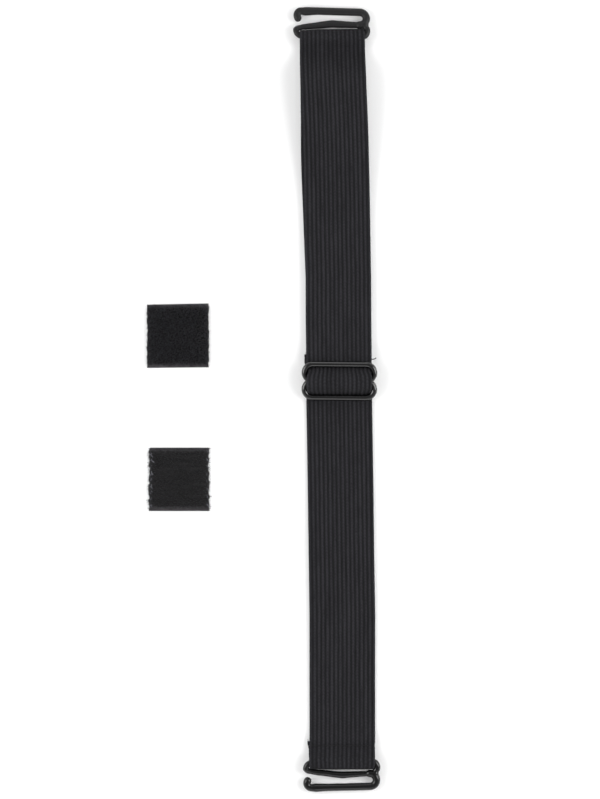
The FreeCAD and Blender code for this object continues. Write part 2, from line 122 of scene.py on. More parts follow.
class Nodes:
    """A node tree in the making."""

    def __init__(self, tree):
        self.tree = tree

    def add(self, kind, settings=None, sockets=None, output=0):
        """A node of that kind with its settings made first, then its sockets' values or links."""
        node = self.tree.nodes.new(kind)
        for name, value in (settings or {}).items():
            setattr(node, name, value)
        for name, value in (sockets or {}).items():
            if isinstance(value, Link):
                self.tree.links.new(value.socket, node.inputs[name])
            else:
                node.inputs[name].default_value = value
        return Link(self, node.outputs[output]) if node.outputs else None

    def sum(self, operation, *values):
        return self.add("ShaderNodeMath", {"operation": operation}, dict(enumerate(values)))

    def blend(self, share, low, high):
        """A colour from low to high by share."""
        values = {"Factor": share, 6: low, 7: high}
        return self.add("ShaderNodeMix", {"data_type": "RGBA"}, values, output=2)

    def step(self, value, low, high):
        """0 at low, 1 at high, and a smooth rise between."""
        sockets = {"Value": value, "From Min": low, "From Max": high}
        return self.add("ShaderNodeMapRange", {"interpolation_type": "SMOOTHSTEP"}, sockets)

    def point(self, x, y, z):
        return self.add("ShaderNodeCombineXYZ", None, {"X": x, "Y": y, "Z": z})

    def place(self):
        return self.add("ShaderNodeTexCoord", output="Object")

    def carried(self, label):
        """A number that the finished mesh carries at each point."""
        return self.add("ShaderNodeAttribute", {"attribute_name": label}, output="Fac")

    def named(self, label):
        """The same number, in the tree that makes the mesh."""
        sockets = {"Name": label}
        return self.add("GeometryNodeInputNamedAttribute", {"data_type": "FLOAT"}, sockets)

    def noise(self, place, scale, detail=2.0):
        sockets = {"Vector": place, "Scale": scale, "Detail": detail}
        return self.add("ShaderNodeTexNoise", None, sockets)

    def bump(self, height, distance, strength=1.0):
        sockets = {"Height": height, "Distance": distance, "Strength": strength}
        return self.add("ShaderNodeBump", None, sockets)


def new_finish(name):
    """A material and its empty tree."""
    finish = bpy.data.materials.new(name)
    finish.use_nodes = True
    finish.node_tree.nodes.clear()
    return finish, Nodes(finish.node_tree)


def lay_finish(nodes, **sockets):
    """Ends a material's tree in one Principled surface."""
    named = {name.replace("_", " "): value for name, value in sockets.items()}
    surface = nodes.add("ShaderNodeBsdfPrincipled", None, named)
    nodes.add("ShaderNodeOutputMaterial", None, {"Surface": surface})


def add_object(name, data):
    made = bpy.data.objects.new(name, data)
    bpy.context.scene.collection.objects.link(made)
    return made


camera = bpy.data.cameras.new("camera")
camera.sensor_width = SENSOR
camera.lens = SENSOR * (VIEW_HEIGHT - VIEW_PLANE) / VIEW_LENGTH
camera.clip_start = 0.1
camera.clip_end = 20
overhead = add_object("camera", camera)
overhead.location = (*VIEW_CENTRE, VIEW_HEIGHT)
overhead.rotation_euler = (0, 0, VIEW_TURN)
bpy.context.scene.camera = overhead
bpy.context.scene.view_settings.view_transform = "Standard"

for name, bearing, height, away, width, watts in LAMPS:
    light = bpy.data.lights.new(name, "AREA")
    light.size = width
    light.energy = watts
    lamp = add_object(name, light)
    turn, tilt = math.radians(bearing), math.radians(height)
    level = math.cos(tilt)
    spot = Vector((math.cos(turn) * level, math.sin(turn) * level, math.sin(tilt)))
    lamp.location = spot * away
    lamp.rotation_euler = (-spot).to_track_quat("-Z", "Y").to_euler()

world = bpy.data.worlds.new("studio")
world.use_nodes = True
world.node_tree.nodes.clear()
bpy.context.scene.world = world
room = Nodes(world.node_tree)
way = room.add("ShaderNodeTexCoord", output="Generated")
up = room.add("ShaderNodeSeparateXYZ", None, {0: way}, output="Z")
dim = 1 - CEILING_DIM * room.step(up, 0.3, 0.95)
ray = room.add("ShaderNodeLightPath", output="Is Camera Ray")
strength = dim * (1 - ray) + ray
sky = room.add("ShaderNodeBackground", None, {"Color": (1, 1, 1, 1), "Strength": strength})
room.add("ShaderNodeOutputWorld", None, {"Surface": sky})

table_finish, nodes = new_finish("white_table")
ray = nodes.add("ShaderNodeLightPath")
seen = nodes.sum("MAXIMUM", ray["Is Camera Ray"], ray["Is Glossy Ray"])
seen = nodes.sum("MAXIMUM", seen, ray["Is Transmission Ray"])
matt = nodes.add("ShaderNodeBsdfDiffuse", None, {"Color": TABLE_WHITE})
lift = nodes.add("ShaderNodeEmission", None, {"Strength": seen * TABLE_LIFT})
both = nodes.add("ShaderNodeAddShader", None, {0: matt, 1: lift})
nodes.add("ShaderNodeOutputMaterial", None, {"Surface": both})
sheet = bpy.data.meshes.new("table")
corners = ((-1, -1), (1, -1), (1, 1), (-1, 1))
corners = [(x * TABLE_REACH, y * TABLE_REACH, -TABLE_GAP) for x, y in corners]
sheet.from_pydata(corners, [], [(0, 1, 2, 3)])
sheet.materials.append(table_finish)
add_object("table", sheet)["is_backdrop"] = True


# The strap is one length of black ribbed elastic, knitted over fifteen rubber threads. It is
# hemmed round the lower hook, threaded through the slider, folded round the upper hook and
# brought back under itself to the slider's centre bar, where its end is sewn down.
WEB_WIDTH = 25.0
WEB_THICK = 1.2
RIBS = 15
RIB_PITCH = 1.62
RIB_SHIFT = -0.74  # how far the ribs lie off the middle, as the right selvedge is the wider one
RIB_RISE = 0.24
RIB_SHAPE = 2.6
RIB_POINTS = 6
RIM_THIN = 0.8
RIM_POWER = 60
KNIT_LENGTH = 1.2
KNIT_SLANT = 1.5
KNIT_RISE = 0.035
KNIT_FADE = 3.2
YARN_PITCH = 0.22
STEP = 0.3  # from one point of the strap to the next
BEND_STEPS = 60
LEAN = math.radians(0.87)
LEAN_FROM = 8.0
HOOK_BAR_Z = 2.8
HOOK_WRAP = 2.2
SLIDER_WRAP = 2.1
LOWER_BAR = -146.6
UPPER_BAR = 132.585
LOW_BAR = (-6.379, 2.4)
MID_BAR = (0.0, 3.65)
TOP_BAR = (6.379, 4.9)
HEM_END = LOWER_BAR + 8.1
TAIL_END = 10.4
HEM_SEAM = LOWER_BAR + 6.4
TAIL_SEAM = 8.9
SEAM_SINK = 0.14
SEAM_NARROW = 0.5
PINCH_FALL = 1.4
PRESS_FROM = -4.0
BENDS = (  # y, z, radius and turn of each bend, from the hem's end to the tail's
    (LOWER_BAR, HOOK_BAR_Z, HOOK_WRAP, -1),
    (LOWER_BAR + 5.1, 4.35, 2.5, 1),
    (HEM_END, -2.15, 4, -1),
    (HEM_END + 5, 4.6, 4, 1),
    (*LOW_BAR, 1.8, 1),
    (*MID_BAR, 3.35, -1),
    (*TOP_BAR, 1.8, 1),
    (10.4, -0.9, 4, -1),
    (15.4, 5.85, 4, 1),
    (UPPER_BAR - 5.1, 4.35, 2.5, 1),
    (UPPER_BAR, HOOK_BAR_Z, HOOK_WRAP, -1),
    (TOP_BAR[0] - 0.6, 8.6, 8, -1),
    (*MID_BAR, SLIDER_WRAP, -1),
    (*TOP_BAR, 3.05, 1),
)


def lay_round(start, heading, bends, end):
    """Points (y, z) STEP apart along straights tangent to the bends, and where each bend ends."""
    circles = [(y, z, radius * turn) for y, z, radius, turn in bends]
    headings = [heading]
    for (y1, z1, bend1), (y2, z2, bend2) in zip(circles, circles[1:]):
        apart = math.hypot(y2 - y1, z2 - z1)
        headings.append(math.atan2(z2 - z1, y2 - y1) - math.asin((bend2 - bend1) / apart))
    headings.append(0.0)
    points, marks = [start], []
    for (y, z, bend), before, after in zip(circles, headings, headings[1:]):
        swing = (after - before) % math.tau
        swing -= math.tau if bend < 0 else 0
        for share in np.linspace(0, 1, BEND_STEPS):
            angle = before + swing * share
            points.append((y + bend * math.sin(angle), z - bend * math.cos(angle)))
        marks.append(len(points) - 1)
    points.append((end, points[-1][1]))
    line = np.array(points)
    run = np.concatenate([[0], np.cumsum(np.hypot(*np.diff(line, axis=0).T))])
    even = np.linspace(0, run[-1], int(run[-1] / STEP))
    laid = np.stack([np.interp(even, run, line[:, 0]), np.interp(even, run, line[:, 1])], 1)
    return laid, even, [int(run[mark] / even[1]) + 1 for mark in marks]


laid, along, leaves = lay_round((HEM_END, 0.6), math.pi, BENDS, TAIL_END)


def reaches(bend, y):
    """The first point after a bend that is past y."""
    going = np.sign(laid[leaves[bend] + 5, 0] - laid[leaves[bend], 0])
    return leaves[bend] + int(np.argmax((laid[leaves[bend]:, 0] - y) * going > 0))


def rise(value, start, end):
    """0 at start, 1 at end, the same beyond them and a smooth rise between."""
    share = np.clip((value - start) / (end - start), 0, 1)
    return share * share * (3 - 2 * share)


def bump_between(y, low, peak, high):
    """A smooth hump that is 1 at peak, and 0 at low, high and beyond."""
    return rise(y, low, peak) * rise(y, high, peak)


CUTS = {  # where each length starts, as a point of the strap
    "lower_loop": 0,
    "lower_run": reaches(3, -130.5),
    "slider_crossing": reaches(3, -14.0),
    "front_run": reaches(8, 16.65),
    "upper_loop": reaches(8, 115.4),
    "back_run": reaches(10, 115.4),
    "slider_tail": reaches(10, 16.65),
}
ends = list(CUTS.values())[1:] + [len(laid) - 1]
LENGTHS = {name: (first, last) for (name, first), last in zip(CUTS.items(), ends)}

plan_y = laid[:, 0]
centre = -math.tan(LEAN) * (plan_y + np.hypot(plan_y, LEAN_FROM)) / 2
index = np.arange(len(laid))
is_front = (index > CUTS["slider_crossing"]) & (index < leaves[9])
is_back = (index > leaves[10]) & (index < leaves[11])
is_tail = index > leaves[11]
is_hem = index < leaves[0]
is_sewn_end = index > leaves[12]
near_hem = index < leaves[3]
is_under = index > leaves[10]
DRIFT = (  # y, how far the relaxed strap lies to the right there, how much wider each side is
    (-146, -0.05, 0.14),
    (-136, 0.15, 0.13),
    (-115, 0.29, 0.13),
    (-90, 0.5, 0.16),
    (-65, 0.31, 0.12),
    (-38, 0.18, 0.14),
    (-8, -0.07, 0.17),
    (0, 0.0, 0.05),
    (11, 0.09, 0.1),
    (24, 0.24, 0.12),
    (40, 0.53, 0.1),
    (58, 0.27, 0.16),
    (80, 0.19, 0.08),
    (100, 0.32, 0.04),
    (122, 0.19, 0.1),
    (131, 0.28, 0.02),
)
drift_y, drift_aside, drift_wide = np.array(DRIFT).T
aside = np.interp(plan_y, drift_y, drift_aside)
for strays, low, peak, high, part in (  # how far a part strays to the right, and where
    (0.56, 32, 80, 128, is_front),
    (-0.44, 55, 88, 124, is_back),
    (-0.76, -2, 9, 14, is_sewn_end),
    (-0.22, LOWER_BAR, LOWER_BAR + 2.5, 0, is_hem),
    (-0.55, HEM_END - 3.2, HEM_END - 1.2, 0, is_hem),
):
    aside += strays * bump_between(plan_y, low, peak, high) * part
lift = np.zeros(len(laid))
for rises, low, peak, high, part in (  # how far a part bows up off the table, and where
    (5.2, 60, 117, 128, is_front | is_back),
    (0.3, -128, -70, -16, (index < CUTS["slider_crossing"]) & ~near_hem),
):
    lift += rises * bump_between(plan_y, low, peak, high) * part


def pinch(y, z, at, reach, deep):
    """How much is taken off the half width near a point of the side view."""
    away = np.hypot(y - at[0], z - at[1]) / reach
    return deep * np.exp(-(away**2) * PINCH_FALL)


right = WEB_WIDTH / 2 + np.interp(plan_y, drift_y, drift_wide)
left = right.copy()
press = np.zeros(len(laid))
flat = np.zeros(len(laid))
y, z = laid.T
for bar, pressed in ((LOWER_BAR, 0.3), (UPPER_BAR, -0.38)):
    fold = (bar + math.copysign(HOOK_WRAP, bar), HOOK_BAR_Z)
    for half_wide, deep in ((right, 0.4), (left, 0.2)):
        half_wide -= pinch(y, z, fold, 2.0, deep) + pinch(y, z, (bar, 0.6), 2.4, 0.2)
    press += pinch(y, z, fold, 2.2, pressed)
    flat += pinch(y, z, fold, 1.6, 0.9)
in_slider = (index > CUTS["slider_crossing"] + 10) & (index < CUTS["front_run"])
narrower = -0.12 * bump_between(y, -3, 0, 3) * in_slider
for slot, deep in (((-4.6, 1.9), 0.35), ((-3.4, 3.2), 0.3), ((3.2, 5.1), 0.6), ((4.8, 3.7), 0.6)):
    narrower += pinch(y, z, slot, 1.9, deep) * (in_slider | is_tail)
right -= narrower
left -= narrower
squeeze = np.zeros(len(laid))
for seam_y, part in ((HEM_SEAM, near_hem), (TAIL_SEAM, is_under)):
    squeeze += SEAM_SINK * np.exp(-(((y - seam_y) / SEAM_NARROW) ** 2)) * part


def carry(mesh, label, values):
    """Gives the mesh's points a number each, for its tree or its finish to read."""
    spread_out = mesh.attributes.new(label, "FLOAT", "POINT").data
    spread_out.foreach_set("value", np.asarray(values, np.float32))


def strap_path(name, first, last, step=1):
    """A line of the strap's points, with what the sweep needs at each."""
    keep = sorted({*range(first, last, step), last})
    spots = np.stack([0 * laid[keep, 0], laid[keep, 0], laid[keep, 1] + lift[keep]], 1) * MM
    mesh = bpy.data.meshes.new(name)
    mesh.from_pydata(spots.tolist(), [(i, i + 1) for i in range(len(keep) - 1)], [])
    carried = {"along": along, "right": right, "left": left, "aside": (aside + centre) * MM}
    carried |= {"squeeze": squeeze * MM, "press": press * MM, "flat": flat}
    for label, values in carried.items():
        carry(mesh, label, values[keep])
    return mesh


def new_grower(name, inputs):
    """A Geometry Nodes tree with a geometry input and named inputs for sizes and the material."""
    tree = bpy.data.node_groups.new(name, "GeometryNodeTree")
    tree.interface.new_socket("Geometry", in_out="INPUT", socket_type="NodeSocketGeometry")
    tree.interface.new_socket("Geometry", in_out="OUTPUT", socket_type="NodeSocketGeometry")
    for label, kind in inputs.items():
        tree.interface.new_socket(label, in_out="INPUT", socket_type="NodeSocket" + kind)
    nodes = Nodes(tree)
    return nodes, nodes.add("NodeGroupInput")


def end_grower(nodes, given, geometry):
    """Smooth faces, real geometry and the material, which every tree here ends in."""
    smooth = nodes.add("GeometryNodeSetShadeSmooth", None, {"Geometry": geometry})
    real = nodes.add("GeometryNodeRealizeInstances", None, {"Geometry": smooth})
    sockets = {"Geometry": real, "Material": given["Finish"]}
    dressed = nodes.add("GeometryNodeSetMaterial", None, sockets)
    nodes.add("NodeGroupOutput", None, {"Geometry": dressed})


def finished(name, base):
    """The base's mesh with its modifiers carried out, as a plain object of that name."""
    bpy.context.view_layer.update()
    depsgraph = bpy.context.evaluated_depsgraph_get()
    made = bpy.data.meshes.new_from_object(base.evaluated_get(depsgraph))
    made.name = name
    bpy.data.objects.remove(base)
    return add_object(name, made)


def grow(name, nodes, mesh, **sizes):
    """The tree's result on a mesh, as a plain object of that name."""
    base = add_object(name + "_base", mesh)
    modifier = base.modifiers.new("grow", "NODES")
    modifier.node_group = nodes.tree
    for item in nodes.tree.interface.items_tree:
        if item.name in sizes:
            modifier[item.identifier] = sizes[item.name]
    return finished(name, base)


def keep_as(nodes, geometry, label, value):
    settings = {"data_type": "FLOAT", "domain": "POINT"}
    sockets = {"Geometry": geometry, "Name": label, "Value": value}
    return nodes.add("GeometryNodeStoreNamedAttribute", settings, sockets)


def here(nodes):
    """The point's place, as x, y and z."""
    return nodes.add("ShaderNodeSeparateXYZ", None, {0: nodes.add("GeometryNodeInputPosition")})


def moved(nodes, geometry, **to):
    return nodes.add("GeometryNodeSetPosition", None, {"Geometry": geometry, **to})


def ring(nodes, points, radius):
    sockets = {"Resolution": points, "Radius": radius}
    return nodes.add("GeometryNodeCurvePrimitiveCircle", {"mode": "RADIUS"}, sockets)


def sweep(nodes, curve, section):
    sockets = {"Curve": curve, "Profile Curve": section, "Fill Caps": True}
    return nodes.add("GeometryNodeCurveToMesh", None, sockets)


def flat_curve(nodes, mesh):
    """A path in the YZ plane, as a curve whose normal is always across the strap."""
    curve = nodes.add("GeometryNodeMeshToCurve", None, {"Mesh": mesh})
    sockets = {"Curve": curve, "Normal": (1, 0, 0)}
    return nodes.add("GeometryNodeSetCurveNormal", {"mode": "FREE"}, sockets)


def spread(nodes, x, at):
    """A point at x of the full width, drawn in to the strap's own half width at each side. The
    left corner of a fold is pressed in by the hook's bar."""
    to_right = nodes.sum("GREATER_THAN", x, 0.0)
    side = nodes.named("right") * to_right + nodes.named("left") * (1 - to_right)
    y = at["Y"] + nodes.named("press") * nodes.step(x, PRESS_FROM * MM, -WEB_WIDTH / 2 * MM)
    return nodes.point(x * side / (WEB_WIDTH / 2) + nodes.named("aside"), y, at["Z"])


def rib_under(nodes, across, shift, pitch):
    """The row of the rib at a place across the webbing, and how far off its crest the place is."""
    rib = (across - shift) / pitch
    row = nodes.sum("ROUND", rib)
    return row, nodes.sum("ABSOLUTE", rib - row)


def knit_wave(nodes, stitches, row, off_crest):
    """The knit's slanting stitches, half a stitch on at each rib."""
    return nodes.sum("COSINE", (stitches + off_crest * KNIT_SLANT + row * 0.5) * math.tau)


nodes, given = new_grower(
    "ribbed_webbing",
    {
        "Width": "Float",
        "Thickness": "Float",
        "Ribs": "Int",
        "Rib pitch": "Float",
        "Rib shift": "Float",
        "Rib rise": "Float",
        "Points a rib": "Int",
        "Knit length": "Float",
        "Knit rise": "Float",
        "Finish": "Material",
    },
)
steps = given["Ribs"] * given["Points a rib"]
order = nodes.add("GeometryNodeInputIndex")
under = nodes.sum("GREATER_THAN", order, steps + 0.5)
place = order + under * (2 * steps + 1 - 2 * order)
across = given["Width"] * (0.5 - place / steps)
row, off_crest = rib_under(nodes, across, given["Rib shift"], given["Rib pitch"])
to_edge = nodes.sum("ABSOLUTE", across * 2 / given["Width"])
rim = nodes.sum("SQRT", 1 - RIM_THIN * to_edge**RIM_POWER)
height = (given["Thickness"] / 2 - given["Rib rise"] * (off_crest * 2) ** RIB_SHAPE) * rim
drawn = nodes.point(across, height * (1 - 2 * under), 0.0)
section = moved(nodes, ring(nodes, 2 * steps + 2, 0.01), Position=drawn)
swept = sweep(nodes, flat_curve(nodes, given["Geometry"]), section)
at = here(nodes)
kept = keep_as(nodes, swept, "across", at["X"] / MM)
row, off_crest = rib_under(nodes, at["X"], given["Rib shift"], given["Rib pitch"])
wave = knit_wave(nodes, nodes.named("along") / given["Knit length"], row, off_crest)
wave = wave * given["Knit rise"] * (1 - KNIT_FADE * off_crest * off_crest)
filled = (off_crest * 2) ** RIB_SHAPE * given["Rib rise"]
pressed_flat = nodes.named("flat")
raised = wave * (1 - pressed_flat) + filled * pressed_flat - nodes.named("squeeze")
normal = nodes.add("GeometryNodeInputNormal")
relief = nodes.add("ShaderNodeVectorMath", {"operation": "SCALE"}, {0: normal, "Scale": raised})
knitted = moved(nodes, kept, Offset=relief)
at = here(nodes)
end_grower(nodes, given, moved(nodes, knitted, Position=spread(nodes, at["X"], at)))
webbing_tree = nodes

elastic, nodes = new_finish("black_elastic")
across, length = nodes.carried("across"), nodes.carried("along")
row, off_crest = rib_under(nodes, across, RIB_SHIFT, RIB_PITCH)
# The grooves between the ribs are painted darker than the crests: painted shade.
groove_shade = nodes.step(off_crest, 0.08, 0.4)
loops = knit_wave(nodes, length / KNIT_LENGTH, row, off_crest) * 0.5 + 0.5
yarns = nodes.sum("COSINE", (length / YARN_PITCH + off_crest * 5) * math.tau) * 0.5 + 0.5
fabric = nodes.point(across, length, 0.0)
fluff = nodes.noise(fabric, 1.1, 5.0)
patches = nodes.noise(fabric, 0.11, 2.0)
streaks = nodes.noise(nodes.point(across * 2.3, length * 0.13, 0.0), 1.0, 3.0)
by_rib = nodes.noise(nodes.point(row * 7.3, length * 0.035, 0.0), 1.0, 1.0)
lint = nodes.step(nodes.noise(fabric, 1.7, 2.0), 0.7, 0.82)
shade = (1 - 0.71 * groove_shade) * (0.68 + 0.32 * loops) * (0.38 + 1.28 * fluff)
shade = shade * (0.3 * patches + 1.3 * streaks + 0.9 * by_rib - 0.26) + lint * 0.4
colour = nodes.blend(shade, (0.0022, 0.0022, 0.0027, 1), (0.023, 0.0225, 0.0262, 1))
weave = yarns * 0.5 + fluff * 0.7 + loops * 0.3
lay_finish(
    nodes,
    Base_Color=colour,
    Roughness=0.78 + 0.16 * fluff,
    Specular_IOR_Level=0.16,
    Sheen_Weight=0.02,
    Sheen_Roughness=0.4,
    Normal=nodes.bump(weave, 0.05 * MM, 0.8),
)

# The two bodies each length joins, and where it starts and ends
STRETCHES = {
    "lower_loop": ("lower_end", "lower_band", -138.2, -130.5),
    "lower_run": ("lower_band", "slider", -130.5, -14.1),
    "front_run": ("slider", "upper_band", 16.7, 115.4),
    "upper_loop": ("upper_band", "upper_end", 115.4, 122.5),
    "back_run": ("slider", "upper_band", 16.7, 115.4),
}


def follow(piece, name):
    """The piece rides on the slider, or keeps its place with its transform laid into its mesh."""
    if name not in STRETCHES:
        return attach(piece, "slider")
    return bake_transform(piece)


for name, (first, last) in LENGTHS.items():
    web = grow(
        name + "_webbing",
        webbing_tree,
        strap_path(name, first, last),
        Width=WEB_WIDTH * MM,
        Thickness=WEB_THICK * MM,
        Ribs=RIBS,
        Finish=elastic,
        **{
            "Rib pitch": RIB_PITCH * MM,
            "Rib shift": RIB_SHIFT * MM,
            "Rib rise": RIB_RISE * MM,
            "Points a rib": RIB_POINTS,
            "Knit length": KNIT_LENGTH,
            "Knit rise": KNIT_RISE * MM,
        },
    )
    follow(web, name)
    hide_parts(name)


# Fifteen threads of natural rubber lie side by side inside the webbing, one in each rib. They
# were covered as it was knitted, and show only as pale dots where the webbing is cut.
THREAD_WIDE = 0.5

nodes, given = new_grower(
    "rubber_threads",
    {
        "Threads": "Int",
        "Pitch": "Float",
        "Shift": "Float",
        "Diameter": "Float",
        "Finish": "Material",
    },
)
copies = nodes.add(
    "GeometryNodeDuplicateElements",
    {"domain": "SPLINE"},
    {"Geometry": flat_curve(nodes, given["Geometry"]), "Amount": given["Threads"]},
)
kept = keep_as(nodes, copies, "thread", copies["Duplicate Index"])
swept = sweep(nodes, kept, ring(nodes, 6, given["Diameter"] / 2))
at = here(nodes)
off_middle = nodes.named("thread") - (given["Threads"] - 1) / 2
across = at["X"] + given["Shift"] + off_middle * given["Pitch"]
end_grower(nodes, given, moved(nodes, swept, Position=spread(nodes, across, at)))
thread_tree = nodes

rubber, nodes = new_finish("natural_rubber")
place = nodes.place()
cloud = nodes.noise(place, 900.0, 3.0)
lay_finish(
    nodes,
    Base_Color=nodes.blend(cloud, (0.36, 0.32, 0.26, 1), (0.6, 0.55, 0.46, 1)),
    Roughness=0.5 + 0.25 * cloud,
    Normal=nodes.bump(nodes.noise(place, 5000.0), 0.02 * MM, 0.5),
)

for name, (first, last) in LENGTHS.items():
    threads = grow(
        name + "_rubber",
        thread_tree,
        strap_path(name, first, last, 2),
        Threads=RIBS,
        Pitch=RIB_PITCH * MM,
        Shift=RIB_SHIFT * MM,
        Diameter=THREAD_WIDE * MM,
        Finish=rubber,
    )
    follow(threads, name)
    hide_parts(name + "_threads")


# Each sewn end is held by one row of lock stitches across the webbing, in black polyester
# thread: a stitch to a rib, pulled tight so that it sinks between the ribs. The slider's row
# ends in a loose end of thread at the right.
STITCH_WIDE = 0.28
STITCH_LONG = 0.86
SEAM_DRAWN_IN = 0.97
TWIST_PITCH = 0.16
UPPER_ARC = (2.0, 2.4)
LOWER_ARC = (0.5, 0.15)
LOOSE_END = ((11.2, 8.3, 2.2), (12.8, 8.2, 2.1), (13.4, 8.15, 2.5), (14.2, 8.75, 2.9))
LOOSE_WIDE = 0.36


def join(nodes, *parts):
    joined = nodes.add("GeometryNodeJoinGeometry")
    for part in parts:
        nodes.tree.links.new(part.socket, joined.socket.node.inputs[0])
    return joined


def bend_of(nodes, points, steps):
    """A curve through a bend's start and end, drawn towards the two points between."""
    sockets = dict(zip(("Start", "Start Handle", "End Handle", "End"), points), Resolution=steps)
    return nodes.add("GeometryNodeCurvePrimitiveBezierSegment", None, sockets)


def round_wire(nodes, points, steps, diameter, sides):
    """A wire of that many sides, bent through the points."""
    return sweep(nodes, bend_of(nodes, points, steps), ring(nodes, sides, diameter / 2))


def points_of(nodes, mesh):
    return nodes.add("GeometryNodeMeshToPoints", None, {"Mesh": mesh})


def scatter(nodes, points, shape, spin=None, scale=None):
    """The shape on every point, turned and scaled as the fields say."""
    sockets = {"Points": points, "Instance": shape}
    if spin:
        sockets["Rotation"] = nodes.add("FunctionNodeEulerToRotation", None, {"Euler": spin})
    if scale:
        sockets["Scale"] = scale
    return nodes.add("GeometryNodeInstanceOnPoints", None, sockets)


def chance(nodes, given, low, high, stream):
    """A random number for each point, from the tree's own seed."""
    sockets = {2: low, 3: high, "Seed": given["Seed"] + stream}
    return nodes.add("FunctionNodeRandomValue", {"data_type": "FLOAT"}, sockets, output=1)


nodes, given = new_grower(
    "lock_stitches",
    {
        "Stitch length": "Float",
        "Thread": "Float",
        "Top ends": "Float",
        "Top crown": "Float",
        "Bottom ends": "Float",
        "Bottom crown": "Float",
        "Finish": "Material",
    },
)
arcs = []
half = given["Stitch length"] / 2
for side in ("Top", "Bottom"):
    ends, crown = given[side + " ends"], given[side + " crown"]
    handle = ends + (crown - ends) * 4 / 3
    corners = ((-half, ends), (-half, handle), (half, handle), (half, ends))
    arc = [nodes.point(x, 0.0, z) for x, z in corners]
    arcs.append(round_wire(nodes, arc, 8, given["Thread"], 6))
row = scatter(nodes, points_of(nodes, given["Geometry"]), join(nodes, *arcs))
end_grower(nodes, given, row)
stitch_tree = nodes

polyester, nodes = new_finish("black_polyester_thread")
place = nodes.place()
lint = nodes.noise(place, 6000.0, 3.0)
at = nodes.add("ShaderNodeSeparateXYZ", None, {0: place})
twist = nodes.sum("SINE", (at["X"] + at["Y"] * 0.6 + at["Z"]) * (math.tau / (TWIST_PITCH * MM)))
shade = lint * 0.6 + twist * 0.2 + 0.2
lay_finish(
    nodes,
    Base_Color=nodes.blend(shade, (0.004, 0.004, 0.0045, 1), (0.015, 0.015, 0.0165, 1)),
    Roughness=0.65 + 0.25 * lint,
    Specular_IOR_Level=0.2,
    Normal=nodes.bump(twist, 0.03 * MM, 0.7),
)

SEAMS = (  # name, node, body, y, the strap's points at the seam
    ("lower_hem_seam", "lower_stitches", "lower_end", HEM_SEAM, near_hem),
    ("slider_tail_seam", "slider_stitches", "slider", TAIL_SEAM, is_under),
)
for name, node, body, seam_y, on_seam in SEAMS:
    nearest = int(np.argmin(np.where(on_seam, np.abs(plan_y - seam_y), np.inf)))
    middle = (centre + aside)[nearest]
    crests = (np.arange(RIBS) - RIBS // 2) * RIB_PITCH + RIB_SHIFT
    mesh = bpy.data.meshes.new(name)
    mesh.from_pydata([((x * SEAM_DRAWN_IN + middle) * MM, seam_y * MM, 0) for x in crests], [], [])
    row = grow(
        name,
        stitch_tree,
        mesh,
        Thread=STITCH_WIDE * MM,
        Finish=polyester,
        **{
            "Stitch length": RIB_PITCH * STITCH_LONG * MM,
            "Top ends": UPPER_ARC[0] * MM,
            "Top crown": UPPER_ARC[1] * MM,
            "Bottom ends": LOWER_ARC[0] * MM,
            "Bottom crown": LOWER_ARC[1] * MM,
        },
    )
    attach(row, body)
    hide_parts(node)

nodes, given = new_grower("loose_thread", {"Thread": "Float", "Finish": "Material"})
line = [tuple(part * MM for part in spot) for spot in LOOSE_END]
end_grower(nodes, given, round_wire(nodes, line, 24, given["Thread"], 8))
sizes = {"Thread": LOOSE_WIDE * MM, "Finish": polyester}
loose = grow("slider_loose_thread", nodes, bpy.data.meshes.new("loose"), **sizes)
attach(loose, "slider")


# The webbing's two cut ends fray a little: short ends of its black covering yarn stand out of
# the cut, bent every way. The squares' cut edges fray in the same way, further on.
WEB_YARNS = 90
YARN_SIZES = (0.35, 1.25)

nodes, given = new_grower(
    "frayed_yarns",
    {"Yarn": "Float", "Length": "Float", "Spread": "Float", "Seed": "Int", "Finish": "Material"},
)
reach = given["Length"]
yarn_bend = (
    (0.0, 0.0, 0.0),
    nodes.point(reach * 0.4, 0.0, reach * 0.15),
    nodes.point(reach * 0.8, reach * 0.25, reach * 0.2),
    nodes.point(reach, reach * 0.45, reach * -0.1),
)
yarn = round_wire(nodes, yarn_bend, 4, given["Yarn"], 4)
points = points_of(nodes, given["Geometry"])
wide = given["Spread"]
spin = nodes.point(
    chance(nodes, given, 0.0, math.tau, 1),
    chance(nodes, given, wide * -0.35, wide * 0.35, 2),
    nodes.named("heading") + chance(nodes, given, -wide, wide, 3),
)
size = chance(nodes, given, *YARN_SIZES, 4)
end_grower(nodes, given, scatter(nodes, points, yarn, spin, size))
fray_tree = nodes


def read(mesh, label):
    """The "co" or the "normal" of each of the mesh's points."""
    values = np.empty((len(mesh.vertices), 3))
    mesh.vertices.foreach_get(label, values.ravel())
    return values


def lie_on_table(mesh):
    """What would go through the table lies on it."""
    spots = read(mesh, "co")
    spots[:, 2] = np.where(spots[:, 2] < 0, spots[:, 2] * 0.1, spots[:, 2])
    mesh.vertices.foreach_set("co", spots.ravel())


def fray(name, spots, body, finish, yarn, length, wide, seed):
    """Yarn ends on spots, which are (x, y, z, heading) in millimetres and radians."""
    mesh = bpy.data.meshes.new(name)
    mesh.from_pydata([(x * MM, y * MM, z * MM) for x, y, z, _ in spots], [], [])
    carry(mesh, "heading", [spot[3] for spot in spots])
    sizes = {"Yarn": yarn * MM, "Length": length * MM, "Spread": wide}
    ends = grow(name, fray_tree, mesh, Seed=seed, Finish=finish, **sizes)
    lie_on_table(ends.data)
    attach(ends, body)


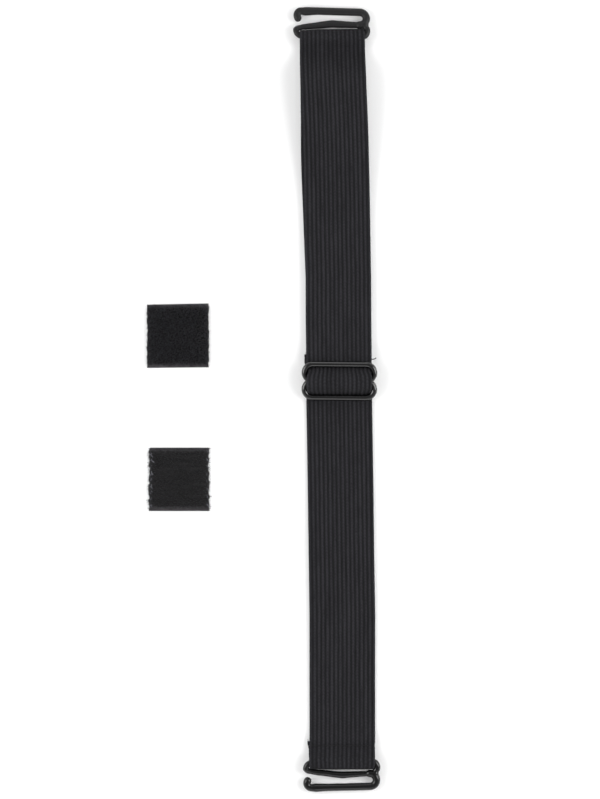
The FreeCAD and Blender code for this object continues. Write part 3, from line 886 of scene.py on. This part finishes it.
chosen = np.random.default_rng(11)
for name, body, at, edge_y, edge_z, seed in (
    ("lower_hem_fray", "lower_end", 0, HEM_END, 0.6, 3),
    ("slider_tail_fray", "slider", len(laid) - 1, TAIL_END, 1.85, 5),
):
    middle = centre[at] + aside[at]
    spots = []
    for share in np.linspace(-0.99, 0.99, WEB_YARNS):
        z = edge_z + chosen.uniform(-0.3, 0.45)
        spots.append((middle + share * WEB_WIDTH / 2, edge_y - 0.05, z, math.pi / 2))
    fray(name, spots, body, polyester, yarn=0.09, length=0.8, wide=0.7, seed=seed)


# The two hooks and the slider are zinc castings under a black nylon coat, dipped or moulded on,
# which rounds the corners where their bars meet. The coat is matt on the upper hook, glossier on
# the lower one, and smooth and shiny on the slider. The upper hook's coat is also painted a
# lighter grey than the lower hook's, though the two are the same part: painted light.
COATED = (  # piece, node, body, base colour, roughness, specular level
    # The upper hook's lighter base colour is painted light.
    ("upper_hook_moulding", "upper_hook_coat", "upper_hook", 0.015, 0.42, 0.2),
    ("lower_hook_moulding", "lower_hook_coat", "lower_hook", 0.003, 0.18, 0.4),
    ("slider_moulding", "slider_coat", "slider", 0.0032, 0.08, 0.7),
)
HOOKS_LAID = {  # the strap bar's middle, turn and side, and how far parts are bent off the drawing
    "upper_hook": {
        "at": (-2.011, 132.435),
        "turn": -1.4,
        "side": 1,
        "lobe": 0.3,
        "tip": 0.35,
        "curl": -0.22,
        "arm": -0.0115,
    },
    "lower_hook": {
        "at": (-0.25, -146.45),
        "turn": 0.93,
        "side": -1,
        "lobe": 0.22,
        "tip": 0.2,
        "curl": 0.0,
        "arm": 0.0,
    },
}
MIDDLE_BARS = {  # places along the middle bar, and how far it is bent away from the strap there
    "upper_hook": (
        (-17, -14.5, -13.4, -12, -10.3, -8.7, -5.5, 0, 3, 9, 12),
        (-0.35, -0.35, -0.5, -0.3, -0.25, -0.2, -0.33, -0.22, -0.33, -0.27, 0),
    ),
    "lower_hook": (
        (-17, -14, -12.5, -9, -5.7, -3, 12),
        (-0.4, -0.45, -0.38, -0.14, -0.24, 0, 0),
    ),
}
BAR_EASE = 15
VOXEL = 0.12
FILLET_ROUNDS = 14


def outer_shell(node):
    """The coat's outer surface, merged: its largest island."""
    shell = bmesh.new()
    shell.from_mesh(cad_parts[node].data)
    bmesh.ops.remove_doubles(shell, verts=shell.verts, dist=1e-6)
    left_over, islands = set(shell.verts), []
    while left_over:
        island, edge = set(), [left_over.pop()]
        while edge:
            vert = edge.pop()
            island.add(vert)
            near = {link.other_vert(vert) for link in vert.link_edges} & left_over
            left_over -= near
            edge.extend(near)
        islands.append(island)
    islands.sort(key=lambda island: max(v.co.x for v in island) - min(v.co.x for v in island))
    inner = [vert for island in islands[:-1] for vert in island]
    bmesh.ops.delete(shell, geom=inner, context="VERTS")
    mesh = bpy.data.meshes.new(node + "_shell")
    shell.to_mesh(mesh)
    shell.free()
    return mesh


def bent_by(u, places, steps):
    """A smooth line through the steps at their places, at u."""
    even = np.arange(-19, 19, 0.1)
    line = np.convolve(np.interp(even, places, steps), np.full(BAR_EASE, 1 / BAR_EASE), "same")
    return np.interp(u, even, line)


def bend_hook(mesh, laid_as, bar):
    """Bends and fills out the hook, in u along its bars and v from the strap bar to its mouth."""
    spots = read(mesh, "co") / MM
    turn, side = math.radians(laid_as["turn"]), laid_as["side"]
    c, s = math.cos(turn), math.sin(turn)
    x, y = spots[:, 0] - laid_as["at"][0], spots[:, 1] - laid_as["at"][1]
    u, v = x * c + y * s, side * (y * c - x * s)
    strap_side, long_bar = rise(v, 5.8, 4.9), rise(v, 5.2, 5.7)
    left_lobe, right_lobe = rise(u, -11.3, -12.5), rise(u, 11.3, 12.5)
    to_tip = rise(u, -5, -11)
    du = laid_as["lobe"] * left_lobe * strap_side
    du += laid_as["tip"] * rise(u, -8, -11) * long_bar
    dv = bent_by(u, *bar) * strap_side * rise(v, 1.4, 2.9)
    dv += laid_as["arm"] * u * rise(v, 5.6, 7.4)
    dv += laid_as["curl"] * to_tip * rise(u, -14, -11) * rise(v, 6.8, 7.6)
    fuller = 0.22 * left_lobe * rise(v, 4.2, 2.6)
    fuller += 0.12 * right_lobe * rise(v, 4.4, 3.2)
    fuller += 0.14 * rise(u, -5, -9) * rise(v, 2.4, 3.2) * strap_side
    fuller += 0.2 * to_tip * long_bar
    spots += read(mesh, "normal") * fuller[:, None]
    dv *= side
    spots[:, 0] += du * c - dv * s
    spots[:, 1] += du * s + dv * c
    mesh.vertices.foreach_set("co", (spots * MM).ravel())
    lie_on_table(mesh)
    mesh.update()


def grey(tone, blue=1.0):
    """A grey with that much more blue in it."""
    return tone, tone, tone * blue, 1


def nylon_coat(name, shade, roughness, gloss):
    finish, nodes = new_finish(name)
    place = nodes.place()
    peel = nodes.noise(place, 2600.0, 2.0)
    grain = nodes.noise(place, 9000.0, 3.0)
    haze = nodes.noise(place, 240.0, 3.0)
    scuffed = nodes.step(nodes.noise(place, 1300.0, 5.0), 0.62, 0.74)
    tone = haze * 0.6 + grain * 0.4 + scuffed * 0.25
    lay_finish(
        nodes,
        Base_Color=nodes.blend(tone, grey(shade * 0.82, 1.03), grey(shade * 1.18, 1.03)),
        Roughness=roughness * 0.86 + haze * 0.1 + scuffed * 0.12,
        Specular_IOR_Level=gloss,
        Normal=nodes.bump(peel * 0.8 + grain * 0.3, 0.018 * MM, 0.5 if roughness > 0.3 else 0.2),
    )
    return finish


for name, node, body, shade, roughness, gloss in COATED:
    base = add_object(name + "_base", outer_shell(node))
    cast = base.modifiers.new("cast", "REMESH")
    cast.mode = "VOXEL"
    cast.voxel_size = VOXEL * MM
    cast.use_smooth_shade = True
    ease = base.modifiers.new("ease", "SMOOTH")
    ease.factor = 0.5
    ease.iterations = FILLET_ROUNDS
    piece = finished(name, base)
    if body in HOOKS_LAID:
        bend_hook(piece.data, HOOKS_LAID[body], MIDDLE_BARS[body])
    piece.data.materials.clear()
    piece.data.materials.append(nylon_coat("nylon_of_" + name, shade, roughness, gloss))
    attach(piece, body)
    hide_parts(node)

zinc, nodes = new_finish("cast_zinc")
place = nodes.place()
grain = nodes.noise(place, 2200.0, 4.0)
lay_finish(
    nodes,
    Base_Color=nodes.blend(grain, (0.38, 0.38, 0.4, 1), (0.56, 0.56, 0.58, 1)),
    Metallic=1.0,
    Roughness=0.35 + 0.3 * grain,
    Normal=nodes.bump(grain, 0.02 * MM, 0.6),
)
for node in ("upper_hook_core", "lower_hook_core", "slider_core"):
    for place_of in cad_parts[node].material_slots:
        place_of.material = zinc


# The squares are cut from two black nylon touch tapes, woven with bare selvedges at the top and
# bottom: one carries a brushed pile of fine loops and the other rows of stiff hooks. Their left
# and right edges are cut by hand, so they are uneven and fray.
PATCH_TURN = math.radians(-0.43)
SQUARES = {  # cut: seed and depth of the cut edges. tones: dark, light, cut edges' painted highlight. yarns: in mm
    "pile_square": {
        "centre": (-62.0, 18.0),
        "size": (23.7, 24.2),
        "skew": (0.02, 0.01),
        "longer": 0.25,
        "cut": (21, 0.13),
        "tones": (0.005, 0.075, 0.03),
        "rows": {"Across": 56, "Along": 50, "Turn about": math.pi, "Seed": 4},
        "yarns": {"Jitter": 0.26, "Yarn": 0.11, "Height": 1.5},
    },
    "hook_square": {
        "centre": (-62.0, -37.2),
        "size": (23.1, 24.0),
        "skew": (0.0, 0.0),
        "longer": 0.35,
        "cut": (37, 0.2),
        "tones": (0.005, 0.055, 0.07),
        "rows": {"Across": 26, "Along": 24, "Turn about": 0.8, "Seed": 8},
        "yarns": {"Jitter": 0.32, "Yarn": 0.17, "Height": 1.35},
    },
}
TAPE_THICK = 0.5
TAPE_CELLS = 132
WEFT = 0.36
WARP = 0.36
WEAVE_RISE = 0.045
WEAVE_DEPTH = 0.05  # from the tape's face to the middle of the weave
SELVEDGE = 1.0
SCALLOP_PITCH = 0.9
SCALLOP_RISE = 0.09
CUT_WEAR = 0.04
GROWN_SIZES = (0.82, 1.12)
ROOT_DEPTH = 0.08
CUT_WAVES = ((1.1, 0.5), (2.3, 0.45), (5.2, 0.7), (8.7, 0.5), (13.0, 0.35))  # turns, share
CUT_YARNS = 84
YARN_SLANT = math.radians(-70)


def cut_wave(v, side, square):
    """How far the square's hand-cut edge strays at v."""
    seed, deep = square["cut"]
    starts = np.random.default_rng(seed + side).uniform(0, math.tau, len(CUT_WAVES))
    waves = [
        share * np.sin(v * turns * math.tau / 24 + start)
        for (turns, share), start in zip(CUT_WAVES, starts)
    ]
    return deep * sum(waves)


def patch_point(square, u, v, z):
    """Where a point at u and v from the square's middle lies."""
    x, y = square["centre"]
    c, s = math.cos(PATCH_TURN), math.sin(PATCH_TURN)
    return x + u * c - v * s, y + u * s + v * c, z


def woven_tape(name, square, finish):
    """The tape's slab, woven above and below, with two cut edges and two selvedges."""
    wide, long = square["size"]
    share = np.linspace(-1, 1, TAPE_CELLS + 1)
    v, u = np.meshgrid(share * long / 2, share * wide / 2, indexing="ij")
    toward = np.clip(np.abs(u) / (wide / 2) * 3 - 2, 0, 1)
    u = u + toward * np.where(u > 0, cut_wave(v, 1, square), -cut_wave(v, 2, square))
    v = v + u * np.where(v > 0, square["skew"][0], square["skew"][1]) * np.abs(v) / long * 2
    v = v - square["longer"] * np.clip(-v / long * 2, 0, 1)
    scallop = SCALLOP_RISE * np.sin(u * math.tau / SCALLOP_PITCH) * np.sign(v)
    v = v + scallop * np.clip(np.abs(v) / (long / 2) * 12 - 11, 0, 1)
    weave = np.sin(u * math.tau / (WARP * 2)) * np.sin(v * math.tau / (WEFT * 2)) * WEAVE_RISE
    uneven = np.random.default_rng(square["cut"][0] + 9).standard_normal(u.shape)
    wear = np.clip(0.1 * uneven * (np.abs(u) > wide / 2 - 0.3), -CUT_WEAR, CUT_WEAR)
    top = patch_point(square, u, v, TAPE_THICK - WEAVE_DEPTH + weave + wear)
    under = patch_point(square, u, v, WEAVE_DEPTH - weave + wear)
    spots = np.concatenate([np.stack(face, -1).reshape(-1, 3) for face in (top, under)]) * MM
    point = np.arange(u.size).reshape(u.shape)
    a, b, c, d = point[:-1, :-1], point[:-1, 1:], point[1:, 1:], point[1:, :-1]
    rim = np.concatenate([point[0, :-1], point[:-1, -1], point[-1, :0:-1], point[:0:-1, 0]])
    after = np.roll(rim, -1)
    top_cells = (a, b, c, d)
    under_cells = (a + u.size, d + u.size, c + u.size, b + u.size)
    sides = (rim, rim + u.size, after + u.size, after)
    faces = [np.stack(corners, -1).reshape(-1, 4) for corners in (top_cells, under_cells, sides)]
    faces = np.concatenate(faces)
    mesh = bpy.data.meshes.new(name)
    mesh.from_pydata(spots.tolist(), [], faces.tolist())
    for label, values in (("across", u), ("along", v)):
        carry(mesh, label, np.tile(values.ravel(), 2))
    mesh.polygons.foreach_set("use_smooth", [True] * len(mesh.polygons))
    mesh.materials.append(finish)
    return add_object(name, mesh)


def tape_finish(name, dark, light, highlight_tone):
    """Woven black nylon whose cut ends are painted lighter: a painted highlight."""
    finish, nodes = new_finish(name)
    across, length = nodes.carried("across"), nodes.carried("along")
    warp = nodes.sum("SINE", across * (math.tau / (WARP * 2)))
    weft = nodes.sum("SINE", length * (math.tau / (WEFT * 2)))
    over = warp * weft * 0.5 + 0.5
    fluff = nodes.noise(nodes.point(across, length, 0.0), 1.0, 3.0)
    slub = nodes.noise(nodes.point(across, length * 0.6, 0.0), 0.9, 2.0)
    bare = nodes.step(nodes.sum("ABSOLUTE", length), 10.2, 11.1)
    # The cut edges are painted lighter grey: a painted highlight.
    painted_edge_highlight = nodes.step(nodes.sum("ABSOLUTE", across), 10.6, 11.7)
    shade = ((over * 0.2 + fluff * 0.5 + slub * 0.3) * 2.8 - 0.85) * (0.25 + 0.75 * bare)
    cloth = nodes.blend(shade, grey(dark), (light, light * 0.93, light * 1.02, 1))
    lay_finish(
        nodes,
        Base_Color=nodes.blend(painted_edge_highlight * fluff * 0.8, cloth, grey(highlight_tone)),
        Roughness=0.66 + 0.25 * fluff,
        Specular_IOR_Level=0.3,
        Normal=nodes.bump(over + fluff * 0.5, 0.06 * MM, 0.7),
    )
    return finish


for name, node, body in (
    ("pile_square_tape", "pile_square_backing", "pile_square"),
    ("hook_square_tape", "hook_square_backing", "hook_square"),
):
    square = SQUARES[body]
    tape = woven_tape(name, square, tape_finish("woven_" + name, *square["tones"]))
    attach(tape, body)
    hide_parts(node)


def field(nodes, given, shape, lean):
    """The shape on an even grid, jittered, turned and scaled at random, and laid in place."""
    sockets = {
        "Size X": given["Width"],
        "Size Y": given["Length"],
        "Vertices X": given["Across"],
        "Vertices Y": given["Along"],
    }
    grid = nodes.add("GeometryNodeMeshGrid", None, sockets)
    line = nodes.sum("MODULO", nodes.add("GeometryNodeInputIndex"), given["Along"])
    facing = nodes.sum("MODULO", line, 2) * math.pi
    reach = given["Jitter"], given["Jitter"], lean, lean, given["Turn about"]
    by_chance = [chance(nodes, given, -far, far, stream) for stream, far in enumerate(reach, 1)]
    points = moved(nodes, points_of(nodes, grid), Offset=nodes.point(*by_chance[:2], 0.0))
    spin = nodes.point(*by_chance[2:4], by_chance[4] + facing)
    laid_out = scatter(nodes, points, shape, spin, chance(nodes, given, *GROWN_SIZES, 6))
    real = nodes.add("GeometryNodeRealizeInstances", None, {"Geometry": laid_out})
    place = nodes.add("GeometryNodeInputPosition")
    sockets = {"Vector": place, "Angle": given["Turn"]}
    turned = nodes.add("ShaderNodeVectorRotate", {"rotation_type": "Z_AXIS"}, sockets)
    put = nodes.add("ShaderNodeVectorMath", {"operation": "ADD"}, {0: turned, 1: given["Place"]})
    return moved(nodes, real, Position=put)


FIELD = {
    "Width": "Float",
    "Length": "Float",
    "Across": "Int",
    "Along": "Int",
    "Jitter": "Float",
    "Turn about": "Float",
    "Turn": "Float",
    "Place": "Vector",
    "Yarn": "Float",
    "Height": "Float",
    "Seed": "Int",
    "Finish": "Material",
}
PILE_LOOP = ((-0.1, 0.0, 0.0), (-0.3, -0.1, 4 / 3), (0.35, 0.15, 4 / 3), (0.12, 0.0, 0.0))
STIFF_HOOK = ((0.0, 0.0, 0.0), (-0.08, 0.0, 1.3), (0.48, 0.0, 1.3), (0.4, 0.0, 0.42))


def field_grower(name, bend, steps, sides, lean):
    """A tree for a field of bent yarns, which are bent through parts of their height."""
    nodes, given = new_grower(name, FIELD)
    bend = [nodes.point(*(given["Height"] * part for part in spot)) for spot in bend]
    yarn = round_wire(nodes, bend, steps, given["Yarn"], sides)
    end_grower(nodes, given, field(nodes, given, yarn, lean))
    return nodes


def filament(name, dark, light, roughness, gloss):
    finish, nodes = new_finish(name)
    place = nodes.place()
    mottle = nodes.noise(place, 420.0, 4.0)
    speck = nodes.noise(place, 2600.0, 2.0)
    shade = mottle * 1.4 + speck * 0.6 - 0.5
    lay_finish(
        nodes,
        Base_Color=nodes.blend(shade, grey(dark, 1.15), grey(light, 1.18)),
        Roughness=roughness + 0.2 * speck,
        Specular_IOR_Level=gloss,
        Normal=nodes.bump(speck, 0.01 * MM, 0.4),
    )
    return finish


pile_tree = field_grower("brushed_pile", PILE_LOOP, 6, 4, 0.4)
hook_tree = field_grower("hook_field", STIFF_HOOK, 7, 5, 0.12)
brushed = filament("brushed_nylon", 0.0175, 0.044, 0.6, 0.3)
stiff = filament("stiff_nylon", 0.006, 0.0195, 0.4, 0.3)
for name, node, body, slot_name, tree, finish in (
    ("pile_square_loops", "pile_square_pile", "pile_square", "pile", pile_tree, brushed),
    ("hook_square_field", "hook_square_hooks", "hook_square", "hooks", hook_tree, stiff),
):
    square = SQUARES[body]
    (x, y), (wide, long) = square["centre"], square["size"]
    grown = grow(
        name,
        tree,
        bpy.data.meshes.new(name),
        Width=(wide - 0.9) * MM,
        Length=(long - 2 * SELVEDGE) * MM,
        Turn=PATCH_TURN,
        Place=(x * MM, y * MM, (TAPE_THICK - ROOT_DEPTH) * MM),
        Finish=finish,
        **square["rows"],
        **{label: size * MM for label, size in square["yarns"].items()},
    )
    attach(grown, body)
    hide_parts(node)

pile_yarn = filament("pile_yarn", 0.012, 0.05, 0.6, 0.3)
# The hook square's frayed yarns are painted light grey: a painted highlight on black nylon.
hook_yarn_painted_highlight = filament("hook_yarn_painted_highlight", 0.02, 0.16, 0.45, 0.4)
for name, body, yarn, length, finish in (
    ("pile_square_fray", "pile_square", 0.07, 0.5, pile_yarn),
    ("hook_square_fray", "hook_square", 0.1, 0.7, hook_yarn_painted_highlight),
):
    square = SQUARES[body]
    wide, long = square["size"]
    spots = []
    for side, outward, facing in ((1, 1, 0.0), (2, -1, math.pi)):
        for v in np.linspace(-long / 2 + 0.2, long / 2 - 0.2, CUT_YARNS):
            v += chosen.uniform(-0.12, 0.12)
            u = (wide / 2 + cut_wave(v, side, square) - 0.12) * outward
            z = chosen.uniform(0.1, TAPE_THICK - WEAVE_DEPTH)
            spots.append((*patch_point(square, u, v, z), facing))
    fray(name, spots, body, finish, yarn, length, wide=0.8, seed=square["cut"][0])

# Cutting has pulled some yarns near the hook square's cut edges slanting. Each lies on the hooks'
# tips, painted light grey, and shows as a light dash: a painted highlight on black nylon.
slanting = filament("slanting_yarn_highlight", 0.04, 0.22, 0.4, 0.5)
spots = []
square = SQUARES["hook_square"]
wide, long = square["size"]
for u, pitch in ((-wide / 2 + 0.45, 2.45), (-wide / 2 + 0.95, 2.45), (wide / 2 - 0.85, 2.9)):
    for v in np.arange(-long / 2 + 1.9 + abs(u) % 1, long / 2 - 0.2, pitch):
        v += chosen.uniform(-0.25, 0.25)
        spots.append((*patch_point(square, u, v, TAPE_THICK + 1.1), YARN_SLANT))
fray(
    "hook_square_slanting_yarns",
    spots,
    "hook_square",
    slanting,
    yarn=0.24,
    length=1.3,
    wide=0.15,
    seed=2,
)

low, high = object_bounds()
sizes = {"cad": [list(corner) for corner in cad_box], "visual": [list(low), list(high)]}
